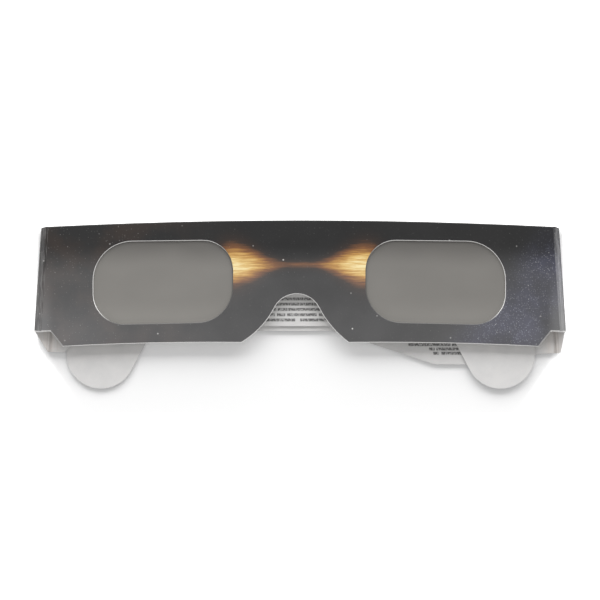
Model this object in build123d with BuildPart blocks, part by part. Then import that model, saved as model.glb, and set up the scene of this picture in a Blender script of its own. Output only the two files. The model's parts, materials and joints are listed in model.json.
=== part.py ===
"""Card viewing glasses with two filter films, folded flat.

The glasses lie on their outer arm with the printed face up: +Z is out of the front, +Y is towards the brow
and +X runs from the left crease to the right one, as seen from the front. Z = 0 is the outer arm's outer face.
"""

import os
from math import cos, radians, sin, tan

from build123d import *

os.makedirs("parts", exist_ok=True)

# Sheets
card = 0.41
film = 0.08
film_glue = 0.04
crease_gap = 0.06
arm_gap = 0.10

# Front, measured from the middle and from the lower end of the creases
crease_half_width = 76.15
crease_height = 30.85
crease_tilt = 3.9
brow_rise = 1.90
step_run = 3.05
step_rise = 0.25
corner_run = 3.5
hem_drop = 4.15
hem_rise = 1.15
hem_arch = 0.43

# Nose notch
nose_shift = -1.65
nose_lean = 0.50
nose_half_width = 15.7
nose_depth = 14.2
nose_arch_radius = 7.25
nose_arch_end = 27.0

# Lens windows, each between its nose side and its temple side, with radii as shares of its height
window_shift = -0.40
window_nose_side = 19.5
window_temple_margin = 16.0
window_brow_margin = 4.45
window_temple_sill = 2.20
window_sill_rise = 0.90
window_head_rise = 0.50
nose_sill_radius_share = 0.440
temple_sill_radius_share = 0.370
temple_head_radius_share = 0.475
nose_head_radius_share = 0.365

# Inside the laminated front
liner_inset = 1.2
film_margin = 1.9
film_radius = 5.0
film_clearance = 0.10
film_glue_setback = 0.25

# Hinge strips: the left one's width, how far each strip is folded back from flat, and how far its upper end
# falls towards the arm
left_spine_width = 2.50
left_spine_fold = 51.0
right_spine_fold = 62.5
spine_end_fall = 0.50

# Arms, both alike
arm_top_setback = 0.7
tip_setback = 7.55
tip_height = 9.5
tip_radius = 8.0
tongue_drop = 16.55
tongue_radius = 10.0
tongue_flat = 0.1
tongue_slant = 62.0
throat_radius = 5.0
score_width = 0.5
score_depth = 0.12

# Left arm, with runs measured from its root
left_arm_hem = 1.75
left_waist_run = 37.4
left_waist_radius = 25.0
left_neck_run = 12.9
left_neck_drop = 2.0
left_ledge_run = 8.5
left_ledge_drop = 5.85
left_flare_run = 3.5
left_flare_drop = 5.7
left_corner_radius = 0.6
left_score_inset = 4.6

# Right arm, with runs measured from its root
right_arm_hem = 0.35
right_waist_run = 67.8
right_waist_radius = 12.0
right_heel_run = 38.2
right_heel_drop = 9.45
right_heel_radius = 5.0
right_heel_back_run = 27.1
right_ledge_run = 5.9
right_ledge_drop = 6.3
right_flare_run = 1.2
right_flare_drop = 6.1
right_corner_radius = 0.6
right_score_inset = 3.1

# Layers above the table, from the outer arm up to the printed face
right_arm_level = 0.0
left_arm_level = right_arm_level + card + arm_gap
left_spine_drop = left_spine_width * sin(radians(left_spine_fold))
front_level = left_arm_level + card + left_spine_drop
right_spine_drop = front_level - right_arm_level - card
right_spine_width = right_spine_drop / sin(radians(right_spine_fold))
film_glue_level = front_level - film_glue
film_level = film_glue_level - film
liner_level = film_level - card

# The windows' edges
window_temple_side = crease_half_width - window_temple_margin
window_nose_sill = window_temple_sill + window_sill_rise
window_temple_head = crease_height - window_brow_margin
window_nose_head = window_temple_head + window_head_rise

# Each strip's run outwards, to its inner edge and to its outer face
tilt = radians(crease_tilt)
left_spine_run = left_spine_width * cos(radians(left_spine_fold))
right_spine_run = right_spine_width * cos(radians(right_spine_fold))
crease_length = crease_height / cos(tilt)


def overhang(width, fold):
    """How far a folded strip stands out past its crease."""
    bare = width - crease_gap / 2
    return bare * cos(radians(fold)) + card * sin(radians(fold))


# The origin is under the middle of the folded outline
left_reach = crease_half_width + overhang(left_spine_width, left_spine_fold) * cos(tilt)
right_reach = crease_half_width + overhang(right_spine_width, right_spine_fold) * cos(tilt)
middle_x = (left_reach - right_reach) / 2
middle_y = (tongue_drop - crease_height - brow_rise) / 2


def layer(level):
    """The plane of a flat sheet's lower face."""
    return Plane(origin=(middle_x, middle_y, level))


def crease_x(height, setback):
    """How far the crease is from the middle at a height, less a setback square to the crease."""
    return crease_half_width - height * tan(tilt) - setback / cos(tilt)


def both_sides(point):
    """A point on the right and its mirror image on the left."""
    return point, (-point[0], point[1])


def panel_face(setback):
    """The front's outline with its windows, its sides set back from the creases."""
    brow = both_sides((crease_x(crease_height, setback), crease_height))
    fold_foot = both_sides((crease_x(0, setback), 0))
    step_x = crease_half_width - step_run
    step = both_sides((step_x, step_rise))
    corner = both_sides((step_x - corner_run, -hem_drop))
    foot_level = hem_rise - hem_drop
    nose_foot = [(nose_shift + side * nose_half_width, foot_level) for side in (1, -1)]
    hem_middle = [
        ((far[0] + near[0]) / 2, (far[1] + near[1]) / 2 + hem_arch)
        for far, near in zip(corner, nose_foot)
    ]
    arch_middle = (nose_shift + nose_lean, foot_level + nose_depth - nose_arch_radius)
    with BuildSketch() as panel:
        with BuildLine():
            ThreePointArc(brow[1], (0, crease_height + brow_rise), brow[0])
            Polyline(brow[0], fold_foot[0], step[0], corner[0])
            ThreePointArc(corner[0], hem_middle[0], nose_foot[0])
            arch = CenterArc(
                arch_middle, nose_arch_radius, nose_arch_end, 180 - 2 * nose_arch_end
            )
            TangentArc(arch @ 0, nose_foot[0], tangent=-(arch % 0))
            TangentArc(arch @ 1, nose_foot[1], tangent=arch % 1)
            ThreePointArc(nose_foot[1], hem_middle[1], corner[1])
            Polyline(corner[1], step[1], fold_foot[1], brow[1])
        make_face()
        for side in (-1, 1):
            add(window_face(side, 0), mode=Mode.SUBTRACT)
    return panel.sketch


def window_face(side, margin):
    """A lens window on one side, widened all round by a margin."""
    temple_height = window_temple_head - window_temple_sill
    nose_height = window_nose_head - window_nose_sill
    corners = (
        (window_nose_side, window_nose_sill),
        (window_temple_side, window_temple_sill),
        (window_temple_side, window_temple_head),
        (window_nose_side, window_nose_head),
    )
    radii = (
        nose_sill_radius_share * nose_height,
        temple_sill_radius_share * temple_height,
        temple_head_radius_share * temple_height,
        nose_head_radius_share * nose_height,
    )
    with BuildSketch() as window:
        with BuildLine():
            FilletPolyline(
                *[(window_shift + side * x, y) for x, y in corners], radius=radii, close=True
            )
        make_face()
        if margin:
            offset(amount=margin)
    return window.sketch


def film_face(side, clearance):
    """A film's rounded rectangle, centred on its window, with a clearance round it."""
    foot = min(window_temple_sill, window_nose_sill)
    head = max(window_temple_head, window_nose_head)
    middle = (window_nose_side + window_temple_side) / 2
    border = film_margin + clearance
    with BuildSketch() as blank:
        with Locations((window_shift + side * middle, (foot + head) / 2)):
            RectangleRounded(
                window_temple_side - window_nose_side + 2 * border,
                head - foot + 2 * border,
                film_radius + clearance,
            )
    return blank.sketch


def arm_face(root_side, spine_run, hem, lower_edge, lower_radii):
    """A folded arm seen from the front. The lower edge goes back from the ear tongue, as runs from the root."""
    setback = crease_gap / 2 - spine_run
    root = -crease_x(0, setback)
    top = crease_height - arm_top_setback
    slant = radians(tongue_slant)
    tip_reach = crease_half_width - tip_setback
    tongue_width = tongue_radius * (1 + tan(slant / 2)) + tongue_flat
    tongue_inner = tip_reach - tongue_width
    throat = tongue_inner - (hem + tongue_drop) / tan(slant)
    outline = [
        (-crease_x(top, setback), top),
        (tip_reach, tip_height),
        (tip_reach, -tongue_drop),
        (tongue_inner, -tongue_drop),
        (throat, hem),
        *[(root + run, level) for run, level in lower_edge],
        (root, 0),
    ]
    radii = [0, tip_radius, tongue_radius, tongue_radius, throat_radius, *lower_radii, 0]
    with BuildSketch() as arm:
        with BuildLine():
            FilletPolyline(
                *[(-root_side * x, y) for x, y in outline], radius=radii, close=True
            )
        make_face()
    return arm.sketch


def crease_middle(side, run=0, level=front_level):
    """The middle of a crease, or of the line that lies a run outside it."""
    height = crease_height / 2
    return Vector(
        middle_x + side * (crease_x(height, 0) + run * cos(tilt)),
        middle_y + height + run * sin(tilt),
        level,
    )


def outwards(side):
    """The level direction out of a crease, square to it."""
    return Vector(side * cos(tilt), sin(tilt), 0)


def spine_plane(side, fold):
    """The inner face of a folded hinge strip: X runs from the front's crease to the arm's crease."""
    out = outwards(side)
    up = Vector(0, 0, 1)
    angle = radians(fold)
    return Plane(
        origin=crease_middle(side),
        x_dir=out * cos(angle) - up * sin(angle),
        z_dir=out * sin(angle) + up * cos(angle),
    )


def spine_face(side, width):
    """A hinge strip laid flat, from the front's crease to the arm's, its upper end falling towards the arm."""
    front_edge = crease_gap / 2
    arm_edge = width - crease_gap / 2
    end = crease_length / 2
    with BuildSketch() as strip:
        with BuildLine():
            Polyline(
                (front_edge, -side * end),
                (arm_edge, -side * end),
                (arm_edge, side * (end - spine_end_fall)),
                (front_edge, side * end),
                close=True,
            )
        make_face()
    return strip.sketch


def score_plane(side, spine_run, inset, level):
    """The middle of an arm's score line, on the arm's inner face."""
    return Plane(
        origin=crease_middle(side, spine_run - inset, level),
        x_dir=outwards(side),
        z_dir=(0, 0, 1),
    )


# The laminated front
with BuildPart() as front_panel:
    with BuildSketch(layer(front_level)):
        add(panel_face(crease_gap / 2))
    extrude(amount=card)
front_panel.part.label = "front_panel"
export_step(front_panel.part, "parts/front_panel.step")

with BuildPart() as back_liner:
    with BuildSketch(layer(liner_level)):
        add(panel_face(liner_inset))
    extrude(amount=card)
back_liner.part.label = "back_liner"
export_step(back_liner.part, "parts/back_liner.step")

with BuildPart() as panel_adhesive:
    with BuildSketch(layer(film_level)):
        add(panel_face(liner_inset))
        for side in (-1, 1):
            add(film_face(side, film_clearance), mode=Mode.SUBTRACT)
    extrude(amount=film + film_glue)
panel_adhesive.part.label = "panel_adhesive"
export_step(panel_adhesive.part, "parts/panel_adhesive.step")

with BuildPart() as left_filter_film:
    with BuildSketch(layer(film_level)):
        add(film_face(-1, 0))
    extrude(amount=film)
left_filter_film.part.label = "left_filter_film"
export_step(left_filter_film.part, "parts/left_filter_film.step")

with BuildPart() as right_filter_film:
    with BuildSketch(layer(film_level)):
        add(film_face(1, 0))
    extrude(amount=film)
right_filter_film.part.label = "right_filter_film"
export_step(right_filter_film.part, "parts/right_filter_film.step")

with BuildPart() as left_film_adhesive:
    with BuildSketch(layer(film_glue_level)):
        add(window_face(-1, film_margin - film_glue_setback))
        add(window_face(-1, film_glue_setback), mode=Mode.SUBTRACT)
    extrude(amount=film_glue)
left_film_adhesive.part.label = "left_film_adhesive"
export_step(left_film_adhesive.part, "parts/left_film_adhesive.step")

with BuildPart() as right_film_adhesive:
    with BuildSketch(layer(film_glue_level)):
        add(window_face(1, film_margin - film_glue_setback))
        add(window_face(1, film_glue_setback), mode=Mode.SUBTRACT)
    extrude(amount=film_glue)
right_film_adhesive.part.label = "right_film_adhesive"
export_step(right_film_adhesive.part, "parts/right_film_adhesive.step")

# The hinge strips between each side's two creases
with BuildPart() as left_spine:
    with BuildSketch(spine_plane(-1, left_spine_fold)):
        add(spine_face(-1, left_spine_width))
    extrude(amount=card)
left_spine.part.label = "left_spine"
export_step(left_spine.part, "parts/left_spine.step")

with BuildPart() as right_spine:
    with BuildSketch(spine_plane(1, right_spine_fold)):
        add(spine_face(1, right_spine_width))
    extrude(amount=card)
right_spine.part.label = "right_spine"
export_step(right_spine.part, "parts/right_spine.step")

# The arms, folded behind the front
left_arm_lower_edge = (
    (left_waist_run, left_arm_hem),
    (left_neck_run, -left_neck_drop),
    (left_ledge_run, -left_ledge_drop),
    (left_flare_run, -left_flare_drop),
)
left_arm_radii = (
    left_waist_radius,
    left_corner_radius,
    left_corner_radius,
    left_corner_radius,
)
with BuildPart() as left_arm:
    with BuildSketch(layer(left_arm_level)):
        add(arm_face(-1, left_spine_run, left_arm_hem, left_arm_lower_edge, left_arm_radii))
    extrude(amount=card)
    with BuildSketch(score_plane(-1, left_spine_run, left_score_inset, left_arm_level + card)):
        Rectangle(score_width, 2 * crease_length)
    extrude(amount=-score_depth, mode=Mode.SUBTRACT)
left_arm.part.label = "left_arm"
export_step(left_arm.part, "parts/left_arm.step")

right_arm_lower_edge = (
    (right_waist_run, right_arm_hem),
    (right_heel_run, -right_heel_drop),
    (right_heel_back_run, -right_heel_drop),
    (right_ledge_run, -right_ledge_drop),
    (right_flare_run, -right_flare_drop),
)
right_arm_radii = (
    right_waist_radius,
    right_heel_radius,
    right_heel_radius,
    right_corner_radius,
    right_corner_radius,
)
with BuildPart() as right_arm:
    with BuildSketch(layer(right_arm_level)):
        add(arm_face(1, right_spine_run, right_arm_hem, right_arm_lower_edge, right_arm_radii))
    extrude(amount=card)
    with BuildSketch(score_plane(1, right_spine_run, right_score_inset, right_arm_level + card)):
        Rectangle(score_width, 2 * crease_length)
    extrude(amount=-score_depth, mode=Mode.SUBTRACT)
right_arm.part.label = "right_arm"
export_step(right_arm.part, "parts/right_arm.step")
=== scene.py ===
"""Folded card viewing glasses on a white table: finishes, printed creases, light and camera.

Left and right are as seen from the printed front. Lengths in the materials are in millimetres over
the glasses at rest, and all other lengths are in metres.
"""

import json
from math import cos, pi, radians, sin

import bmesh
import bpy
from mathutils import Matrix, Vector


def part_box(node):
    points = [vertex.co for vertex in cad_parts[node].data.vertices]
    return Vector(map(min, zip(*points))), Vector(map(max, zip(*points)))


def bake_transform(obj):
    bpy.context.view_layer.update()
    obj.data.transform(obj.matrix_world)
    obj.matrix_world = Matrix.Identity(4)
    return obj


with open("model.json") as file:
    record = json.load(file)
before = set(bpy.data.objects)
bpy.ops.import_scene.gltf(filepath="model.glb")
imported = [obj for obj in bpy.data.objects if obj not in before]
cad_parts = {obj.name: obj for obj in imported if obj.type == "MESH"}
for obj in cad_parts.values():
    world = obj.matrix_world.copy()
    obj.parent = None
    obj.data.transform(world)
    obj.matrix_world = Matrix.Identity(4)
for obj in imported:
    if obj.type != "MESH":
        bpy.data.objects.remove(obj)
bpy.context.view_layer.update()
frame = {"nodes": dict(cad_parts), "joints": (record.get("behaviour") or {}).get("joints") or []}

MM = 0.001
up = Vector((0, 0, 1))
white = (1.0, 1.0, 1.0, 1.0)
black = (0.0, 0.0, 0.0, 1.0)

# Sizes of the card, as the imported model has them
card = 0.41 * MM
crease_length = 30.92 * MM
spine_end_fall = 0.50 * MM
edge_bevel = 0.19 * MM

# In millimetres: a lower corner's ledge and slanted cut, and a film's reach past its window
step_run = 3.05
step_rise = 0.25
corner_run = 3.5
corner_drop = 4.4
film_margin = 1.9

# The windows, from the films behind them, in millimetres
left_film, right_film = [
    [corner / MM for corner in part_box(node)] for node in ("left_filter_film", "right_filter_film")
]
window_sill = left_film[0].y + film_margin
window_head = left_film[1].y - film_margin
left_window_edge = left_film[1].x - film_margin
right_window_edge = right_film[0].x + film_margin
bridge_middle = (left_window_edge + right_window_edge) / 2
bridge_half_width = (right_window_edge - left_window_edge) / 2


class Fold:
    """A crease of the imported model: where it lies, how it runs and how far it turns."""

    def __init__(self, name):
        found = next(j for j in frame["joints"] if j["name"] == name)
        self.middle = Vector(found["pos_m"])
        self.turn = radians(found["range_deg"][1])
        along = Vector(found["axis"]).normalized()
        self.towards_brow = -along if along.y < 0 else along
        level = self.towards_brow.cross(up).normalized()
        self.outwards = -level if level.x * self.middle.x < 0 else level

    def foot(self):
        """The lower end of a crease of the front, in millimetres."""
        return (self.middle - self.towards_brow * crease_length / 2) / MM

    def strip_outwards(self):
        """The direction that a hinge strip's printed face looks in, at rest."""
        return self.outwards * sin(self.turn) + up * cos(self.turn)


fold_names = ("left_spine_fold", "left_arm_fold", "right_spine_fold", "right_arm_fold")
folds = {name: Fold(name) for name in fold_names}
left_foot, right_foot = folds["left_spine_fold"].foot(), folds["right_spine_fold"].foot()
feet_middle = (left_foot + right_foot) / 2
feet_reach = (right_foot.x - left_foot.x) / 2


class Graph:
    """Adds nodes to one new material. An input is a number, a tuple or another node's socket."""

    def __init__(self, name):
        self.material = bpy.data.materials.new(name)
        self.material.use_nodes = True
        self.tree = self.material.node_tree
        self.shader = self.tree.nodes["Principled BSDF"]

    def feed(self, socket, value):
        if isinstance(value, bpy.types.NodeSocket):
            self.tree.links.new(value, socket)
        else:
            socket.default_value = value

    def make(self, kind, inputs, **settings):
        node = self.tree.nodes.new(kind)
        for name, value in settings.items():
            setattr(node, name, value)
        for key, value in inputs.items():
            self.feed(node.inputs[key], value)
        return node

    def node(self, kind, inputs, output=0, **settings):
        """One output of a new node."""
        return self.make(kind, inputs, **settings).outputs[output]

    def math(self, operation, a, b=0.0):
        return self.node("ShaderNodeMath", {0: a, 1: b}, operation=operation)

    def times(self, value, *others):
        for other in others:
            value = self.math("MULTIPLY", value, other)
        return value

    def plus(self, a, b):
        return self.math("ADD", a, b)

    def minus(self, a, b):
        return self.math("SUBTRACT", a, b)

    def size(self, value):
        return self.math("ABSOLUTE", value)

    def vector(self, operation, a, b, output=0):
        return self.node("ShaderNodeVectorMath", {0: a, 1: b}, output, operation=operation)

    def stretch(self, place, factors):
        return self.vector("MULTIPLY", place, factors)

    def dot(self, a, b):
        return self.vector("DOT_PRODUCT", a, tuple(b), "Value")

    def depth(self, place, point, direction):
        """How far a place lies past a point, in one direction."""
        return self.dot(self.vector("SUBTRACT", place, tuple(point)), direction)

    def ease(self, value, low, high, start=0.0, end=1.0):
        """Start below low and end above high, with a smooth step between them."""
        inputs = {0: value, 1: low, 2: high, 3: start, 4: end}
        return self.node("ShaderNodeMapRange", inputs, interpolation_type="SMOOTHSTEP")

    def mix(self, share, a, b, blend="MIX"):
        inputs = {0: share, 6: a, 7: b}
        return self.node("ShaderNodeMix", inputs, 2, data_type="RGBA", blend_type=blend)

    def tint(self, colour, other):
        """A colour times another one."""
        return self.mix(1.0, colour, other, "MULTIPLY")

    def ramp(self, value, stops):
        node = self.make("ShaderNodeValToRGB", {0: value})
        points = node.color_ramp.elements
        while len(points) < len(stops):
            points.new(1.0)
        for point, (place, colour) in zip(points, stops):
            point.position = place
            point.color = (*colour, 1.0)
        return node.outputs[0]

    def noise(self, place, grain, detail, roughness):
        """Noise whose lumps are about as wide as grain, in millimetres."""
        inputs = {"Vector": place, "Scale": 1 / grain, "Detail": detail, "Roughness": roughness}
        return self.node("ShaderNodeTexNoise", inputs)

    def millimetres(self):
        """The place on the piece at rest, in millimetres."""
        return self.stretch(self.node("ShaderNodeTexCoord", {}, "Object"), (1 / MM,) * 3)

    def split(self, place):
        return self.make("ShaderNodeSeparateXYZ", {0: place}).outputs

    def join(self, x, y, z=0.0):
        return self.node("ShaderNodeCombineXYZ", {0: x, 1: y, 2: z})

    def bump(self, height, distance, strength, under=None):
        """A bump whose height of 1 stands for a distance in millimetres."""
        inputs = {"Height": height, "Distance": distance * MM, "Strength": strength}
        if under is not None:
            inputs["Normal"] = under
        return self.node("ShaderNodeBump", inputs)

    def finish(self, **inputs):
        """Feeds the shader's sockets, named with underscores for spaces, and gives the material."""
        for name, value in inputs.items():
            self.feed(self.shader.inputs[name.replace("_", " ")], value)
        return self.material


def grey(value, warmth=0.0):
    """A grey with a little more red and less blue."""
    return (value * (1 + warmth), value, value * (1 - warmth), 1.0)


# From here on a noise is its grain in millimetres, its detail and its roughness. A fade is where it
# starts and where it ends, over a length, a noise or a direction. It goes from 0 to 1, unless two
# more numbers give its own values. A share or a tone of four numbers is such a fade too.
noise_middle = 0.5

# The two fans of warm light
streak_height = 11.6
streak_length = 17.0
streak_spread = 5.2
streak_thinness = 1.1
streak_middle_share = 0.30
streak_overrun = 7.0
ray_stretch = (0.22, 2.4, 1.0)
ray_noise = (1.3, 4.0, 0.6)
ray_fade = (0.3, 0.7, 0.72, 1.12)
streak_colours = (
    (0.00, (0.0, 0.0, 0.0)),
    (0.14, (0.020, 0.008, 0.003)),
    (0.34, (0.18, 0.065, 0.014)),
    (0.56, (0.48, 0.24, 0.045)),
    (0.76, (0.72, 0.48, 0.15)),
    (0.97, (0.88, 0.74, 0.38)),
)


def light_streaks(g, place):
    """Two fans of warm light, one from each window, that narrow towards the bridge's middle."""
    x, y, _ = g.split(place)
    reach = g.minus(bridge_half_width, g.size(g.minus(x, bridge_middle)))
    spread = g.ease(reach, 0.0, streak_length, streak_spread, streak_thinness)
    slope = g.math("DIVIDE", g.minus(y, streak_height), spread)
    band = g.math("EXPONENT", g.times(slope, slope, -1.0))
    inner = g.ease(reach, 0.0, streak_length, 1.0, streak_middle_share)
    outer = g.ease(reach, -streak_overrun, 0.0)
    rays = g.noise(g.stretch(place, ray_stretch), *ray_noise)
    strength = g.times(band, inner, outer, g.ease(rays, *ray_fade))
    return g.ramp(strength, streak_colours)


# Specks of the sky: the net's cell, the share of cells that have one, its radius, and its strength
haze_specks = (0.5, 0.6, 0.20, 0.30)
fine_specks = (0.9, 0.45, 0.13, 0.45)
dust_specks = (1.9, 0.35, 0.17, 0.75)
bright_specks = (7.0, 0.30, 0.30, 0.70)
speck_core = 0.35
speck_contrast = 1.6


def stars(g, place, cell, share, radius, strength):
    """Round specks, one in a share of the cells of a plane net, each of its own brightness."""
    inputs = {"Vector": place, "Scale": 1 / cell}
    net = g.make("ShaderNodeTexVoronoi", inputs, voronoi_dimensions="2D").outputs
    draw, brightness, _ = g.split(net["Color"])
    chosen = g.math("LESS_THAN", draw, share)
    speck = g.ease(net["Distance"], radius / cell, speck_core * radius / cell)
    return g.times(chosen, speck, g.math("POWER", brightness, speck_contrast), strength)


# The dark print: its grey, with painted reflection that is darker at the brow and paler lower down
# and on the left, then the haze at the right, a painted sheen near the folds at the ends, the
# embers and the specks
cloud_noise = (16.0, 4.0, 0.55)
brow_painted_reflection = (window_head - 12.0, window_head - 0.8, 0.080, 0.022)
hem_reflection_share = (window_sill - 4.0, window_sill + 12.0, 1.0, 0.0)
hem_painted_reflection = (-66.0, -48.0, 0.043, 0.020)
half_reflection_share = (-60.0, 10.0, 1.15, 0.95)
cloud_share = (0.25, 0.75, 0.90, 1.10)
sky_white = (1.0, 0.99, 1.0, 1.0)
haze_lean = -0.8
haze_inner_fade = (48.0, 66.0)
haze_outer_fade = (86.0, 70.0)
haze_cloud_share = (0.35, 0.65, 0.25, 1.0)
haze_colour = (0.022, 0.024, 0.055, 1.0)
painted_sheen_fade = (71.5, 75.2)
painted_sheen_height_fade = (12.0, -5.0)
painted_sheen_half_share = (-10.0, 10.0, 0.70, 1.0)
painted_sheen_colour = grey(0.070)
ember_cloud_fade = (0.42, 0.62)
ember_fade = (-20.0, -50.0)
ember_colour = (0.012, 0.004, 0.0, 1.0)
haze_dust_share = 0.9
left_dust_share = (-30.0, -60.0, 0.10, 0.32)
grain_colour = (0.85, 0.88, 1.0, 1.0)
speck_colour = (1.0, 0.98, 0.95, 1.0)
no_shift = (0.0, 0.0, 0.0)


def sky_colour(g, place, shift=no_shift):
    """The dark printed sky: a soft grey fade of painted reflection, thin blue haze, a painted sheen
    by the folds and specks.
    """
    x, y, _ = g.split(place)
    plane = g.stretch(g.vector("ADD", place, shift), (1.0, 1.0, 0.0))
    cloud = g.noise(plane, *cloud_noise)
    # Painted reflection: darker at the brow, paler lower down and most at the lower left, a little
    # paler on the left half
    lower = g.times(g.ease(y, *hem_reflection_share), g.ease(x, *hem_painted_reflection))
    tone = g.plus(g.ease(y, *brow_painted_reflection), lower)
    tone = g.times(tone, g.ease(x, *half_reflection_share), g.ease(cloud, *cloud_share))
    sky = g.mix(tone, black, sky_white)
    leaning = g.plus(x, g.times(y, haze_lean))
    haze = g.times(g.ease(leaning, *haze_inner_fade), g.ease(leaning, *haze_outer_fade))
    haze = g.times(haze, g.ease(cloud, *haze_cloud_share))
    sky = g.mix(haze, sky, haze_colour, "ADD")
    # Painted sheen: a pale band on the print beside each fold, strongest low down and on the right
    ends = g.times(g.ease(g.size(x), *painted_sheen_fade), g.ease(y, *painted_sheen_height_fade))
    ends = g.times(ends, g.ease(x, *painted_sheen_half_share))
    sky = g.mix(ends, sky, painted_sheen_colour, "ADD")
    embers = g.times(g.ease(cloud, *ember_cloud_fade), g.ease(x, *ember_fade))
    sky = g.mix(embers, sky, ember_colour, "ADD")
    sky = g.mix(g.times(stars(g, plane, *haze_specks), haze), sky, grain_colour)
    crowd = g.plus(g.times(haze, haze_dust_share), g.ease(x, *left_dust_share))
    dust = g.times(g.plus(stars(g, plane, *fine_specks), stars(g, plane, *dust_specks)), crowd)
    return g.mix(g.plus(dust, stars(g, plane, *bright_specks)), sky, speck_colour)


# Where the print ends short of a cut edge, and pale scuffs along a fold
ledge_rim = 0.35
slant_rim = 0.26
rim_tone = 0.66
rim_blur_outside = 0.12
rim_blur_inside = 0.08
ledge_overlap = 0.1
slant_overlap = 0.3
scuff_stretch = 0.07
scuff_noise = (0.33, 3.0, 0.55)
scuff_fade = (0.42, 0.66)
scuff_strength = 0.16
scuff_colour = grey(0.62, 0.01)


def pale_rim(g, place, foot, away, width):
    """A rim of that width along a cut edge through foot, which runs square to away."""
    depth = g.depth(place, foot, away.normalized())
    return g.ease(depth, width + rim_blur_outside, width - rim_blur_inside)


def corner_rims(g, place):
    """Rims along the ledge and the slanted cut of both lower corners of the front."""
    x, y, _ = g.split(place)
    out = g.size(g.minus(x, feet_middle.x))
    mirrored = g.join(out, y)
    foot = Vector((feet_reach, feet_middle.y, 0))
    step = foot + Vector((-step_run, step_rise, 0))
    ledge = pale_rim(g, mirrored, foot, Vector((step_rise, step_run, 0)), ledge_rim)
    ledge = g.times(ledge, g.math("GREATER_THAN", out, step.x - ledge_overlap))
    slant = pale_rim(g, mirrored, step, Vector((-corner_drop, corner_run, 0)), slant_rim)
    slant = g.times(slant, g.math("LESS_THAN", y, step.y + slant_overlap))
    return g.math("MAXIMUM", ledge, slant)


def rubbed(g, place, colour, along):
    """Long pale scuffs that run along a fold."""
    x, _, z = g.split(place)
    slide = g.times(g.dot(place, along), scuff_stretch)
    scuffs = g.ease(g.noise(g.join(x, slide, z), *scuff_noise), *scuff_fade)
    return g.mix(g.times(scuffs, scuff_strength), colour, scuff_colour)


# Rows of fine strokes on the bare side of the arms
rule_blocks = {
    "left": {
        "low_x": -40.0, "high_x": 34.0, "first_y": 1.65, "pitch": 1.54,
        "indents": (0.0, 0.0, 0.0, 0.0, 0.0), "gaps": 0.23, "faintest": 0.44,
    },
    "right": {
        "low_x": 31.5, "high_x": 58.0, "first_y": -11.75, "pitch": 1.27,
        "indents": (0.0, 6.1, 7.3), "gaps": 0.27, "faintest": 0.35,
    },
}
rule_width = 0.92
rule_edge_fade = (0.66 * rule_width, 0.26 * rule_width)
rule_end_blur = 0.3
half_row = 0.5
rule_group_noise = (1.5, 0.0, 0.5)
rule_group_step = 7.3
rule_group_blur = 0.04
rule_stroke_noise = (0.42, 1.0, 0.5)
rule_stroke_lean = 0.7
rule_stroke_step = 5.1
rule_stroke_fade = (0.34, 0.58)
rule_strength = 0.86
rule_colour = grey(0.07)


def ruled_rows(g, place, low_x, high_x, first_y, pitch, indents, gaps, faintest):
    """Rows of small strokes in groups with ragged ends, as fine print from afar, but unreadable."""
    x, y, _ = g.split(place)
    steps = g.math("DIVIDE", g.minus(first_y, y), pitch)
    row = g.math("ROUND", steps)
    off = g.size(g.times(g.minus(steps, row), pitch))
    start = low_x
    for i, indent in enumerate(indents):
        start = g.plus(start, g.times(g.math("COMPARE", row, float(i)), indent))
    begun = g.ease(g.minus(x, start), 0.0, rule_end_blur)
    inside = g.times(begun, g.ease(x, high_x, high_x - rule_end_blur))
    after_first = g.math("GREATER_THAN", row, -half_row)
    before_last = g.math("LESS_THAN", row, len(indents) - half_row)
    groups = g.noise(g.join(x, g.times(row, rule_group_step)), *rule_group_noise)
    groups = g.ease(groups, gaps, gaps + rule_group_blur)
    strokes = g.join(x, g.times(y, rule_stroke_lean), g.times(row, rule_stroke_step))
    strokes = g.ease(g.noise(strokes, *rule_stroke_noise), *rule_stroke_fade, faintest, 1.0)
    line = g.ease(off, *rule_edge_fade)
    return g.times(line, inside, after_first, before_last, groups, strokes)


# How far in from an arm's crease its score runs, and brown painted shade on the bare side there, in
# streaks by the crease and as dark lines at the score
score_inset = {"left": 4.6, "right": 3.1}
crease_shade_colour = (0.93, 0.89, 0.86, 1.0)
crease_shade_stretch = (2.6, 0.12, 1.0)
crease_shade_noise = (1.1, 3.0, 0.6)
crease_shade_streak_fade = (0.34, 0.66, 0.35, 1.0)
crease_shade_near_fade = (0.2, 1.6)
crease_shade_full_reach = 1.0
crease_shade_reach = 5.0
score_shade_colour = (0.22, 0.17, 0.14, 1.0)
score_fade = (0.75, 0.10, 0.0, 0.26)
second_score_offset = 0.95
second_score_fade = (0.35, 0.05, 0.0, 0.18)


def fold_shade(g, place, colour, fold, score):
    """Painted shade in brown streaks along the crease, and painted shade as a dark line at the
    score with a thin one by it.
    """
    depth = g.depth(place, fold.middle / MM, -fold.outwards)
    streaks = g.ease(g.noise(g.stretch(place, crease_shade_stretch), *crease_shade_noise), *crease_shade_streak_fade)
    near = g.ease(depth, *crease_shade_near_fade)
    far = g.ease(depth, score + crease_shade_reach, score + crease_shade_full_reach)
    # Painted shade, tinted brown, in streaks near the crease
    colour = g.mix(g.times(near, far, streaks), colour, crease_shade_colour, "MULTIPLY")
    # Painted shade in the score, as a dark line and a thin one by it
    line = g.ease(g.size(g.minus(depth, score)), *score_fade)
    second = g.ease(g.size(g.minus(depth, score - second_score_offset)), *second_score_fade)
    return g.mix(g.math("MAXIMUM", line, second), colour, score_shade_colour)


# The bare side of the card
bare_tone = 0.71
bare_noise = (5.0, 5.0, 0.6)
bare_fade = (0.3, 0.7)
bare_dark = grey(bare_tone * 0.96, 0.010)
bare_light = grey(bare_tone * 1.03, 0.014)


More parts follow.
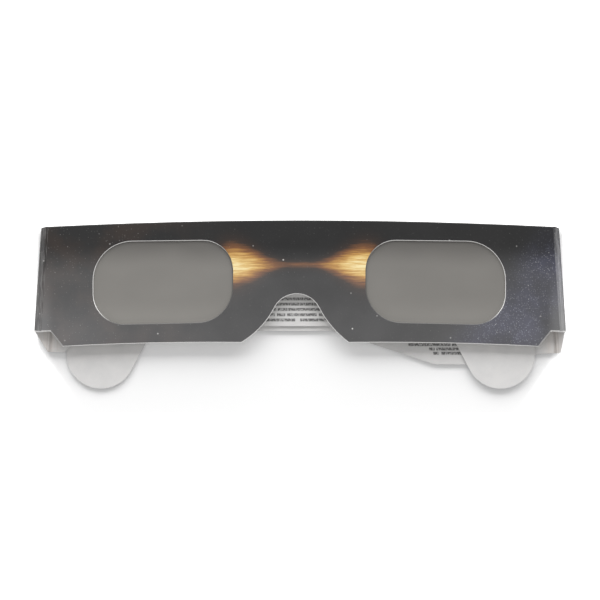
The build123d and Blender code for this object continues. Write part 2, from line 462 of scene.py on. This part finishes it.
def bare_colour(g, place):
    """Warm light grey with soft mottling."""
    return g.mix(g.ease(g.noise(place, *bare_noise), *bare_fade), bare_dark, bare_light)


def bare_arm_colour(word):
    """The bare side of one arm, with its rows and painted shade along its fold."""

    def colour(g, place):
        rows = ruled_rows(g, place, **rule_blocks[word])
        ruled = g.mix(g.times(rows, rule_strength), bare_colour(g, place), rule_colour)
        return fold_shade(g, place, ruled, folds[f"{word}_arm_fold"], score_inset[word])

    return colour


# How the printed side differs from piece to piece. The arms' sky is shifted. On a hinge strip the
# sky is darkened by a share as painted shade, most on the left, and a grey is added as a painted
# highlight, on the right strip only, most high up and at the foot.
arm_shift = (137.0, 61.0, 0.0)
spine_painted_shade = {"left": 0.42, "right": 0.76}
spine_painted_highlight = {"left": 0.0, "right": 0.07}
spine_highlight_height_fade = (1.1, 1.9)
spine_highlight_foot_fade = (22.0, 12.0, 0.3, 1.0)


def front_print(g, place, paper):
    """The sky with warm light, inside a paper rim at the lower corners."""
    sky = g.mix(1.0, sky_colour(g, place), light_streaks(g, place), "ADD")
    return g.mix(corner_rims(g, place), sky, g.tint(paper, grey(rim_tone)))


def liner_print(g, place, _):
    """The plain sky."""
    return sky_colour(g, place)


def arm_print(g, place, _):
    """The sky, shifted so that it doesn't repeat the front's."""
    return sky_colour(g, place, arm_shift)


def spine_print(word):
    """The sky on one hinge strip, darkened by painted shade and paler towards its foot by a painted
    highlight, inside a paper rim there.
    """
    fold = folds[f"{word}_spine_fold"]

    def colour(g, place, paper):
        _, y, z = g.split(place)
        # Painted shade over the strip, then a painted highlight high up and towards the foot
        sky = g.tint(sky_colour(g, place), grey(spine_painted_shade[word]))
        highlight = g.times(g.ease(z, *spine_highlight_height_fade), g.ease(y, *spine_highlight_foot_fade))
        sky = g.mix(highlight, sky, grey(spine_painted_highlight[word]), "ADD")
        sky = rubbed(g, place, sky, fold.towards_brow)
        rim = pale_rim(g, place, fold.foot(), fold.towards_brow, ledge_rim)
        return g.mix(rim, sky, g.tint(paper, grey(rim_tone)))

    return colour


# The card: which way a face looks, its pale core with fibres, painted shade on cut edges, and its
# tooth and soft waves
print_facing_fade = (0.90, 0.94)
bare_facing_fade = (-0.90, -0.94)
fibre_stretch = (1.0, 1.0, 6.0)
fibre_noise = (0.35, 4.0, 0.7)
fibre_fade = (0.3, 0.7)
paper_tone = 0.84
fibre_dark = grey(paper_tone - 0.12, 0.02)
fibre_light = grey(paper_tone + 0.12, 0.01)
edge_shade_colour = grey(0.13, 0.02)
lit_edge_fade = (-0.5, 0.45)
arm_edge_painted_shade = 0.28
tooth_noise = (0.22, 3.0, 0.6)
tooth_bump = (0.010, 0.5)
wave_noise = (14.0, 2.0, 0.4)
wave_bump = (0.5, 0.5)
bare_roughness = 0.66
print_roughness = 0.52
tooth_roughness = 0.10
print_gloss = 0.34


def edge_with_painted_shade(g, place, normal, paper):
    """Cut edges of the front, with painted shade on those that look up or away from the nose and
    the pale core on the others.
    """
    side = g.math("SIGN", g.split(place)[0])
    across, upwards, _ = g.split(normal)
    # Painted shade on edges that look up or away from the nose
    lit_side = g.minus(g.times(across, side, -1.0), upwards)
    return g.mix(g.ease(lit_side, *lit_edge_fade), edge_shade_colour, paper)


def card_material(name, outwards, print_side, bare_side=bare_colour):
    """Printed on the face that looks outwards, bare on the other, with the core along cut edges,
    darkened by painted shade on the arms and on some edges of the front.
    """
    g = Graph(name)
    place = g.millimetres()
    normal = g.node("ShaderNodeTexCoord", {}, "Normal")
    facing = g.dot(normal, outwards)
    fibres = g.noise(g.stretch(place, fibre_stretch), *fibre_noise)
    paper = g.mix(g.ease(fibres, *fibre_fade), fibre_dark, fibre_light)
    if outwards.z > 0:
        edge = edge_with_painted_shade(g, place, normal, paper)
    else:
        # Painted shade: the arms' cut edges darkened into a thin dark line around them
        edge = g.tint(paper, grey(arm_edge_painted_shade))
    printed = g.ease(facing, *print_facing_fade)
    colour = g.mix(g.ease(facing, *bare_facing_fade), edge, bare_side(g, place))
    colour = g.mix(printed, colour, print_side(g, place, paper))
    tooth = g.noise(place, *tooth_noise)
    relief = g.bump(tooth, *tooth_bump, g.bump(g.noise(place, *wave_noise), *wave_bump))
    rough = g.ease(printed, 0.0, 1.0, bare_roughness, print_roughness)
    rough = g.plus(rough, g.times(g.minus(tooth, noise_middle), tooth_roughness))
    return g.finish(
        Base_Color=colour, Roughness=rough, Normal=relief, Specular_IOR_Level=print_gloss
    )


# The print over the creases: a share that darkens it, as painted shade on the front creases, and a
# painted highlight towards the foot of the right front crease
front_crease_painted_shade = {"left": 0.70, "right": 0.95}
front_crease_painted_highlight = {"left": 0.0, "right": 0.10}
arm_crease_darkening = 0.45
crease_highlight_fade = (22.0, 8.0, 0.25, 1.0)
crease_rim_colour = grey(paper_tone * rim_tone, 0.01)
crack_stretch = (1.0, 0.25, 1.0)
crack_noise = (0.25, 4.0, 0.7)
crack_fade = (0.60, 0.72, 0.0, 0.35)
crack_colour = grey(0.6, 0.02)
crease_noise = (0.2, 3.0, 0.6)
crease_bump = (0.012, 0.6)
crease_roughness = 0.50


def crease_material(name, word, darkening, lift):
    """The print stretched over a fold, cracked here and there, darkened by a share that is painted
    shade on the front creases, and paler towards its foot where a painted highlight is given.
    """
    fold = folds[f"{word}_spine_fold"]
    g = Graph(name)
    place = g.millimetres()
    _, y, _ = g.split(place)
    # Painted shade by the darkening share, then a painted highlight towards the foot
    colour = g.tint(sky_colour(g, place), grey(darkening))
    colour = g.mix(g.ease(y, *crease_highlight_fade), colour, grey(lift), "ADD")
    colour = rubbed(g, place, colour, fold.towards_brow)
    rim = pale_rim(g, place, fold.foot(), fold.towards_brow, ledge_rim)
    colour = g.mix(rim, colour, crease_rim_colour)
    cracks = g.ease(g.noise(g.stretch(place, crack_stretch), *crack_noise), *crack_fade)
    colour = g.mix(cracks, colour, crack_colour)
    relief = g.bump(g.noise(place, *crease_noise), *crease_bump)
    return g.finish(
        Base_Color=colour, Roughness=crease_roughness, Normal=relief, Specular_IOR_Level=print_gloss
    )


# The films, with painted reflection in their colour
film_colour = (0.302, 0.290, 0.270, 1.0)
film_noise = (15.0, 2.0, 0.4)
film_waver = 6.0
film_head_reflection_share = (window_head - 8.5, window_head - 0.5, 1.0, 0.66)
film_sill_reflection_share = (window_sill - 1.0, window_sill + 9.0, 0.90, 0.75)
film_wave_share = (0.3, 0.7, 0.97, 1.03)
film_side_reflection_share = (-60.0, 60.0, 1.03, 0.97)
film_wave_bump = (0.6, 0.5)
film_fine_noise = (0.15, 2.0, 0.5)
film_fine_bump = (0.002, 0.4)
film_roughness = 0.46
film_gloss = 0.30


def film_material():
    """Smooth filter film, hardly waved, so it carries soft broad reflections, with painted
    reflection in its colour too: darker towards the head, paler towards the sill and on the left.
    """
    g = Graph("filter_film")
    place = g.millimetres()
    wave = g.noise(place, *film_noise)
    x, y, _ = g.split(place)
    y = g.plus(y, g.times(g.minus(wave, noise_middle), film_waver))
    # Painted reflection: darker towards the head, paler towards the sill and on the left, with soft
    # random waves
    tone = g.times(
        g.ease(y, *film_head_reflection_share),
        g.ease(y, *film_sill_reflection_share),
        g.ease(wave, *film_wave_share),
        g.ease(x, *film_side_reflection_share),
    )
    fine = g.noise(place, *film_fine_noise)
    return g.finish(
        Base_Color=g.mix(tone, black, film_colour),
        Roughness=film_roughness,
        Normal=g.bump(fine, *film_fine_bump, g.bump(wave, *film_wave_bump)),
        Specular_IOR_Level=film_gloss,
    )


# The glue
glue_noise = (0.8, 4.0, 0.6)
glue_dark = (0.52, 0.50, 0.44, 1.0)
glue_light = (0.68, 0.66, 0.58, 1.0)
glue_bump = (0.02, 1.0)
glue_roughness = 0.7


def adhesive_material():
    """Dried glue, dull and slightly yellow."""
    g = Graph("adhesive")
    lumps = g.noise(g.millimetres(), *glue_noise)
    colour = g.mix(lumps, glue_dark, glue_light)
    return g.finish(Base_Color=colour, Roughness=glue_roughness, Normal=g.bump(lumps, *glue_bump))


# Cut edges
weld_reach = 0.002 * MM
bevel_from_angle = radians(50)


def dress(node, material, bevel=0.0):
    """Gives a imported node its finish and, with a bevel, rounds its cut edges."""
    piece = frame["nodes"][node]
    piece.data.materials.clear()
    piece.data.materials.append(material)
    if bevel:
        weld = piece.modifiers.new("weld", "WELD")
        weld.merge_threshold = weld_reach
        cut = piece.modifiers.new("cut", "BEVEL")
        cut.limit_method = "ANGLE"
        cut.angle_limit = bevel_from_angle
        cut.width = bevel
        cut.segments = 1


# The printed skin over each crease
skin_lap = 0.40 * MM
skin_lift = 0.006 * MM
skin_depth = 0.05 * MM
skin_flattening = 0.35
skin_inner_share = 0.35
skin_steps = 12
skin_rows = 24
skin_sharp_angle = radians(35)


def skin_outline(fold, first_angle, last_angle):
    """A skin's cross-section about its crease.

    Gives its outer points, the inner ones in the same order, and where the bend starts and ends on
    the sheets' outer faces.
    """
    turn = last_angle - first_angle

    def around(angle, radius):
        return (up * cos(angle) + fold.outwards * sin(angle)) * radius

    def lapped(angle, radius, way):
        onward = fold.outwards * cos(angle) - up * sin(angle)
        return around(angle, radius) + onward * skin_lap * way

    outer_radius = card + skin_lift
    sheet_radius = card - skin_depth
    outer = [lapped(first_angle, outer_radius, -1)]
    inner = [lapped(first_angle, sheet_radius, -1)]
    for i in range(skin_steps + 1):
        share = i / skin_steps
        angle = first_angle + turn * share
        flattened = outer_radius * (1 - skin_flattening * sin(pi * share) * turn / pi)
        outer.append(around(angle, flattened))
        inner.append(around(angle, skin_inner_share * card))
    outer.append(lapped(last_angle, outer_radius, 1))
    inner.append(lapped(last_angle, sheet_radius, 1))
    return outer, inner, around(first_angle, card), around(last_angle, card)


def crease_skin(name, fold, first_angle, last_angle, end_fall, material):
    """The card's outer skin round a fold, from one sheet's outer face to the next one's.

    Angles are measured from straight up towards the outside. The skin laps onto the sheet on both
    sides of the bend. Its upper end falls short of the crease's full length by end_fall.
    """
    outer, inner, first, last = skin_outline(fold, first_angle, last_angle)
    mesh = bmesh.new()
    rows = []
    for r in range(skin_rows + 1):
        slide = fold.towards_brow * ((crease_length - end_fall) * r / skin_rows - crease_length / 2)
        rows.append([mesh.verts.new(fold.middle + slide + point) for point in outer + inner[::-1]])
    count = len(rows[0])
    for lower, upper in zip(rows, rows[1:]):
        for i in range(count):
            j = (i + 1) % count
            mesh.faces.new((lower[i], lower[j], upper[j], upper[i]))
    for row in (rows[0], rows[-1]):
        for i in range(len(outer) - 1):
            mesh.faces.new((row[i], row[i + 1], row[count - 2 - i], row[count - 1 - i]))
    bmesh.ops.recalc_face_normals(mesh, faces=mesh.faces)
    data = bpy.data.meshes.new(name)
    mesh.to_mesh(data)
    mesh.free()
    data.materials.append(material)
    for face in data.polygons:
        face.use_smooth = True
    data.set_sharp_from_angle(angle=skin_sharp_angle)
    piece = bpy.data.objects.new(name, data)
    bpy.context.scene.collection.objects.link(piece)
    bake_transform(piece)


# The light and the camera
soft_boxes = {
    "key": {"place": (0.05, 1.84, 0.78), "width": 3.8, "height": 1.6, "watts": 84.0},
    "low_front": {"place": (0.0, -1.90, 0.42), "width": 2.0, "height": 0.4, "watts": 12.0},
}
fill_level = 0.44
view_middle = Vector((-0.07, 1.33, 3.27)) * MM
view_width = 175.2 * MM
lens = 150.0
sensor = 36.0
nearest_seen = 0.01
farthest_seen = 20.0


def soft_light(name, place, width, height, watts):
    """A rectangular soft box that looks at the glasses."""
    data = bpy.data.lights.new(name, "AREA")
    data.shape = "RECTANGLE"
    data.size = width
    data.size_y = height
    data.energy = watts
    lamp = bpy.data.objects.new(name, data)
    lamp.location = place
    lamp.rotation_mode = "QUATERNION"
    lamp.rotation_quaternion = (-lamp.location).to_track_quat("-Z", "Y")
    bpy.context.scene.collection.objects.link(lamp)


def make_world():
    world = bpy.data.worlds.new("studio")
    bpy.context.scene.world = world
    world.use_nodes = True
    background = world.node_tree.nodes["Background"]
    background.inputs["Color"].default_value = white
    background.inputs["Strength"].default_value = fill_level


def make_camera():
    """Straight above, as far off as the view's width asks for."""
    data = bpy.data.cameras.new("camera")
    data.sensor_width = sensor
    data.lens = lens
    data.clip_start = nearest_seen
    data.clip_end = farthest_seen
    camera = bpy.data.objects.new("camera", data)
    camera.location = view_middle + up * lens * view_width / sensor
    bpy.context.scene.collection.objects.link(camera)
    bpy.context.scene.camera = camera


# The table, a little below the card because loose card bows, and the backdrop, far below for arms
# that swing down. A reach is half of a side. The table's corners are cut at a slant, clear of them.
sheet_tone = 0.95
sheet_roughness = 0.9
warp_gap = 0.55 * MM
table_middle = (0, -0.0055, -warp_gap)
table_reach = (0.0797, 0.0295)
table_glow = 0.08
table_fade = 0.0035
corner_turn = radians(31.8)
corner_reach = 0.0738
corner_fade = 2 * table_fade
backdrop_middle = (0, 0, -0.20)
backdrop_reach = (3.0, 3.0)
backdrop_glow = 1.0


def white_when_seen(g, share):
    """A share for rays from the camera or through gloss or glass, and 0 for all others."""
    path = g.make("ShaderNodeLightPath", {}).outputs
    seen = g.math("MAXIMUM", path["Is Camera Ray"], path["Is Glossy Ray"])
    seen = g.math("MAXIMUM", seen, path["Is Transmission Ray"])
    return g.times(seen, share)


def table_cover(g):
    """1 on the table and 0 past its sides and cut corners, with soft ends."""
    x, y, _ = g.split(g.node("ShaderNodeTexCoord", {}, "Object"))
    across = g.size(x)
    slanted = g.plus(g.times(across, cos(corner_turn)), g.times(y, -sin(corner_turn)))
    ends = (
        (across, table_reach[0], table_fade),
        (g.size(y), table_reach[1], table_fade),
        (slanted, corner_reach, corner_fade),
    )
    return g.times(*[g.ease(value, end, end - run) for value, end, run in ends])


def white_sheet(name, middle, reach, glow, cover=None):
    """A level white sheet, all of it there or as much as cover says."""
    g = Graph(f"{name}_white")
    g.finish(
        Base_Color=grey(sheet_tone),
        Roughness=sheet_roughness,
        Emission_Color=white,
        Emission_Strength=white_when_seen(g, glow),
    )
    if cover:
        g.finish(Alpha=cover(g))
    bpy.ops.mesh.primitive_plane_add(size=2.0, location=middle)
    sheet = bpy.context.object
    sheet.name = name
    for corner in sheet.data.vertices:
        corner.co.x *= reach[0]
        corner.co.y *= reach[1]
    sheet.data.materials.append(g.material)


# Finishes and printed creases
film = film_material()
glue = adhesive_material()
dress("front_panel", card_material("front_card", up, front_print), edge_bevel)
dress("back_liner", card_material("liner_card", up, liner_print), edge_bevel)
dress("panel_adhesive", glue)
for word in ("left", "right"):
    spine, arm = f"{word}_spine", f"{word}_arm"
    spine_fold, arm_fold = folds[f"{spine}_fold"], folds[f"{arm}_fold"]
    turned = spine_fold.turn
    outwards = spine_fold.strip_outwards()
    dress(spine, card_material(f"{spine}_card", outwards, spine_print(word)))
    dress(arm, card_material(f"{arm}_card", -up, arm_print, bare_arm_colour(word)), edge_bevel)
    dress(f"{word}_filter_film", film)
    dress(f"{word}_film_adhesive", glue)

    darkening, lift = front_crease_painted_shade[word], front_crease_painted_highlight[word]
    skin = crease_material(f"{word}_front_crease_print", word, darkening, lift)
    crease_skin(f"{word}_front_crease", spine_fold, 0.0, turned, 0.0, skin)
    skin = crease_material(f"{word}_arm_crease_print", word, arm_crease_darkening, 0.0)
    crease_skin(f"{word}_arm_crease", arm_fold, turned, pi, spine_end_fall, skin)

# Table, light and camera
white_sheet("table", table_middle, table_reach, table_glow, table_cover)
white_sheet("backdrop", backdrop_middle, backdrop_reach, backdrop_glow)
make_world()
for name, box in soft_boxes.items():
    soft_light(name, **box)
make_camera()
bpy.context.scene.view_settings.view_transform = "Standard"
